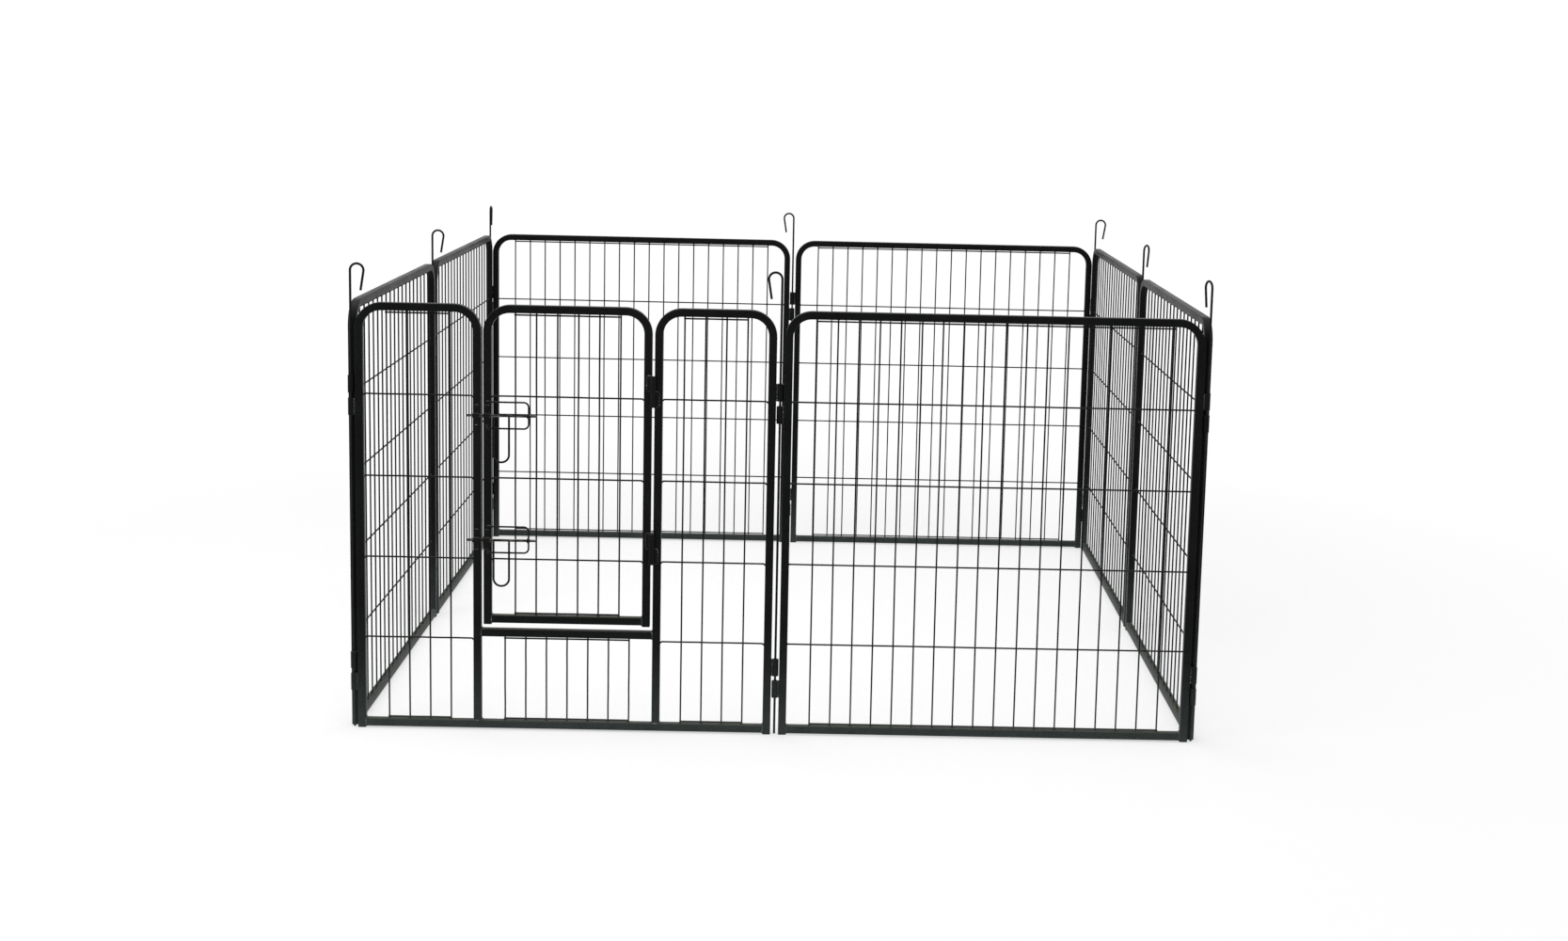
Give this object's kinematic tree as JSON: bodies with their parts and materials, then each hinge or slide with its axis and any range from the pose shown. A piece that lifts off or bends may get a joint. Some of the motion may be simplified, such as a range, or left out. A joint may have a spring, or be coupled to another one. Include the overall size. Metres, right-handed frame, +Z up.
{
  "type": "pet playpen",
  "caption": "Square ring of hinged wire-mesh panels joined by lift-out hooked pins, with a small swing door held by sliding bolts in one panel.",
  "frame": {"origin": "on the floor, under the middle of the pen's outer box", "axes": "+Z up, -Y out of the side with the door, +X to the right of someone who faces the door from outside"},
  "size_m": [1.6388, 1.6498, 0.8902],
  "materials": {
    "frame_coat": "satin powder coat on square steel tube",
    "mesh_coat": "satin powder coat on welded steel wire",
    "hardware_coat": "satin powder coat on steel wire and strip"
  },
  "bodies": {
    "door_panel": {"door_panel_left_arch": "frame_coat", "door_panel_right_arch": "frame_coat", "door_panel_bottom_rail": "frame_coat", "door_panel_sill_bar": "frame_coat", "door_panel_left_mesh": "mesh_coat", "door_panel_right_mesh": "mesh_coat", "door_panel_sill_mesh": "mesh_coat", "door_panel_knuckles": "frame_coat", "door_panel_hinge_pintles": "hardware_coat", "door_panel_bolt_keepers": "hardware_coat"},
    "front_right": {"front_right_frame": "frame_coat", "front_right_bottom_rail": "frame_coat", "front_right_mesh": "mesh_coat", "front_right_knuckles": "frame_coat"},
    "right_front": {"right_front_frame": "frame_coat", "right_front_bottom_rail": "frame_coat", "right_front_mesh": "mesh_coat", "right_front_knuckles": "frame_coat"},
    "right_back": {"right_back_frame": "frame_coat", "right_back_bottom_rail": "frame_coat", "right_back_mesh": "mesh_coat", "right_back_knuckles": "frame_coat"},
    "back_right": {"back_right_frame": "frame_coat", "back_right_bottom_rail": "frame_coat", "back_right_mesh": "mesh_coat", "back_right_knuckles": "frame_coat"},
    "back_left": {"back_left_frame": "frame_coat", "back_left_bottom_rail": "frame_coat", "back_left_mesh": "mesh_coat", "back_left_knuckles": "frame_coat"},
    "left_back": {"left_back_frame": "frame_coat", "left_back_bottom_rail": "frame_coat", "left_back_mesh": "mesh_coat", "left_back_knuckles": "frame_coat"},
    "left_front": {"left_front_frame": "frame_coat", "left_front_bottom_rail": "frame_coat", "left_front_mesh": "mesh_coat", "left_front_knuckles": "frame_coat"},
    "door": {"door_frame": "frame_coat", "door_bottom_rail": "frame_coat", "door_mesh": "mesh_coat", "door_hinge_sockets": "hardware_coat", "door_bolt_straps": "hardware_coat", "door_bolt_guides": "hardware_coat"},
    "upper_bolt": {"upper_bolt": "hardware_coat"},
    "lower_bolt": {"lower_bolt": "hardware_coat"},
    "upper_bolt_handle": {"upper_bolt_handle": "hardware_coat"},
    "lower_bolt_handle": {"lower_bolt_handle": "hardware_coat"},
    "pin_front_middle": {"pin_front_middle": "hardware_coat"},
    "pin_front_right": {"pin_front_right": "hardware_coat"},
    "pin_right_middle": {"pin_right_middle": "hardware_coat"},
    "pin_back_right": {"pin_back_right": "hardware_coat"},
    "pin_back_middle": {"pin_back_middle": "hardware_coat"},
    "pin_back_left": {"pin_back_left": "hardware_coat"},
    "pin_left_middle": {"pin_left_middle": "hardware_coat"},
    "pin_front_left": {"pin_front_left": "hardware_coat"}
  },
  "joints": [
    {"name": "front_middle_fold", "type": "hinge", "parent": "door_panel", "child": "front_right", "pos_m": [-0.00992, -0.80642, 0], "axis": [0, 0, 1], "range_deg": [-8, 98]},
    {"name": "front_right_fold", "type": "hinge", "parent": "front_right", "child": "right_front", "pos_m": [0.79208, -0.80642, 0], "axis": [0, 0, 1], "range_deg": [-98, 8]},
    {"name": "right_middle_fold", "type": "hinge", "parent": "right_front", "child": "right_back", "pos_m": [0.79208, -0.00442, 0], "axis": [0, 0, 1], "range_deg": [-8, 98]},
    {"name": "back_right_fold", "type": "hinge", "parent": "right_back", "child": "back_right", "pos_m": [0.79208, 0.79758, 0], "axis": [0, 0, 1], "range_deg": [-98, 8]},
    {"name": "back_middle_fold", "type": "hinge", "parent": "back_right", "child": "back_left", "pos_m": [-0.00992, 0.79758, 0], "axis": [0, 0, 1], "range_deg": [-8, 98]},
    {"name": "back_left_fold", "type": "hinge", "parent": "back_left", "child": "left_back", "pos_m": [-0.81192, 0.79758, 0], "axis": [0, 0, 1], "range_deg": [-98, 8]},
    {"name": "left_middle_fold", "type": "hinge", "parent": "left_back", "child": "left_front", "pos_m": [-0.81192, -0.00442, 0], "axis": [0, 0, 1], "range_deg": [-8, 98]},
    {"name": "door_swing", "type": "hinge", "parent": "door_panel", "child": "door", "pos_m": [-0.24742, -0.81942, 0], "axis": [0, 0, 1], "range_deg": [0, 170]},
    {"name": "upper_bolt_slide", "type": "slide", "parent": "door", "child": "upper_bolt", "axis": [1, 0, 0], "range_m": [0, 0.031]},
    {"name": "upper_handle_swing", "type": "hinge", "parent": "upper_bolt", "child": "upper_bolt_handle", "pos_m": [-0.59542, -0.82032, 0.6095], "axis": [-1, 0, 0], "range_deg": [0, 170]},
    {"name": "lower_bolt_slide", "type": "slide", "parent": "door", "child": "lower_bolt", "axis": [1, 0, 0], "range_m": [0, 0.031]},
    {"name": "lower_handle_swing", "type": "hinge", "parent": "lower_bolt", "child": "lower_bolt_handle", "pos_m": [-0.59542, -0.82032, 0.3718], "axis": [-1, 0, 0], "range_deg": [0, 170]},
    {"name": "front_middle_pin_lift", "type": "slide", "parent": "door_panel", "child": "pin_front_middle", "axis": [0, 0, 1], "range_m": [0, 0.69]},
    {"name": "front_right_pin_lift", "type": "slide", "parent": "front_right", "child": "pin_front_right", "axis": [0, 0, 1], "range_m": [0, 0.69]},
    {"name": "right_middle_pin_lift", "type": "slide", "parent": "right_front", "child": "pin_right_middle", "axis": [0, 0, 1], "range_m": [0, 0.69]},
    {"name": "back_right_pin_lift", "type": "slide", "parent": "right_back", "child": "pin_back_right", "axis": [0, 0, 1], "range_m": [0, 0.69]},
    {"name": "back_middle_pin_lift", "type": "slide", "parent": "back_right", "child": "pin_back_middle", "axis": [0, 0, 1], "range_m": [0, 0.69]},
    {"name": "back_left_pin_lift", "type": "slide", "parent": "back_left", "child": "pin_back_left", "axis": [0, 0, 1], "range_m": [0, 0.69]},
    {"name": "left_middle_pin_lift", "type": "slide", "parent": "left_back", "child": "pin_left_middle", "axis": [0, 0, 1], "range_m": [0, 0.69]},
    {"name": "front_left_pin_lift", "type": "slide", "parent": "left_front", "child": "pin_front_left", "axis": [0, 0, 1], "range_m": [0, 0.69]}
  ],
  "couplings": [
    {"joint": "front_right_fold", "follows": "front_middle_fold", "ratio": -1},
    {"joint": "right_middle_fold", "follows": "front_middle_fold", "ratio": 1},
    {"joint": "back_right_fold", "follows": "front_middle_fold", "ratio": -1},
    {"joint": "back_middle_fold", "follows": "front_middle_fold", "ratio": 1},
    {"joint": "back_left_fold", "follows": "front_middle_fold", "ratio": -1},
    {"joint": "left_middle_fold", "follows": "front_middle_fold", "ratio": 1}
  ]
}
